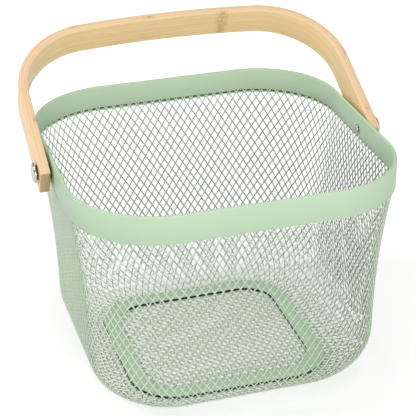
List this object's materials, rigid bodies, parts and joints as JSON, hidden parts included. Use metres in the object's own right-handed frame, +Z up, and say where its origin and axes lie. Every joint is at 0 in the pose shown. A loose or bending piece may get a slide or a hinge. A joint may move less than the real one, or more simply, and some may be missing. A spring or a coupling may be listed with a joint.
{
  "type": "storage basket",
  "caption": "Square tapered storage basket of diamond steel mesh with a folded sheet rim, a flat ring in its floor and a bent bamboo handle that swings on side pivots.",
  "frame": {"origin": "middle of the underside, on the crossing of strands at the centre of the mesh floor", "axes": "+Z up, +X to the right-hand pivot, -Y to the front; the handle leans back towards +Y"},
  "size_m": [0.273, 0.2467, 0.2379],
  "materials": {
    "sage_paint": "satin powder coat, pale sage green",
    "bamboo": "clear-lacquered laminated bamboo",
    "steel": "smooth bright zinc-plated steel"
  },
  "bodies": {
    "basket": {"rim_band": "sage_paint", "base_ring": "sage_paint", "mesh_right": "sage_paint", "mesh_back": "sage_paint", "mesh_left": "sage_paint", "mesh_front": "sage_paint", "mesh_corner_back_right": "sage_paint", "mesh_corner_back_left": "sage_paint", "mesh_corner_front_left": "sage_paint", "mesh_corner_front_right": "sage_paint", "mesh_bend_right": "sage_paint", "mesh_bend_back": "sage_paint", "mesh_bend_left": "sage_paint", "mesh_bend_front": "sage_paint", "mesh_foot_right": "sage_paint", "mesh_foot_back": "sage_paint", "mesh_foot_left": "sage_paint", "mesh_foot_front": "sage_paint", "mesh_bend_corner_back_right": "sage_paint", "mesh_bend_corner_back_left": "sage_paint", "mesh_bend_corner_front_left": "sage_paint", "mesh_bend_corner_front_right": "sage_paint", "mesh_floor": "sage_paint", "pivot_screw_right": "steel", "head_washer_right": "steel", "spacer_washer_right": "steel", "dome_nut_right": "steel", "pivot_screw_left": "steel", "head_washer_left": "steel", "spacer_washer_left": "steel", "dome_nut_left": "steel"},
    "handle": {"handle": "bamboo"}
  },
  "joints": [
    {"name": "handle_swing", "type": "hinge", "parent": "basket", "child": "handle", "pos_m": [0, 0, 0.168], "axis": [1, 0, 0], "range_deg": [-45, 173]}
  ]
}
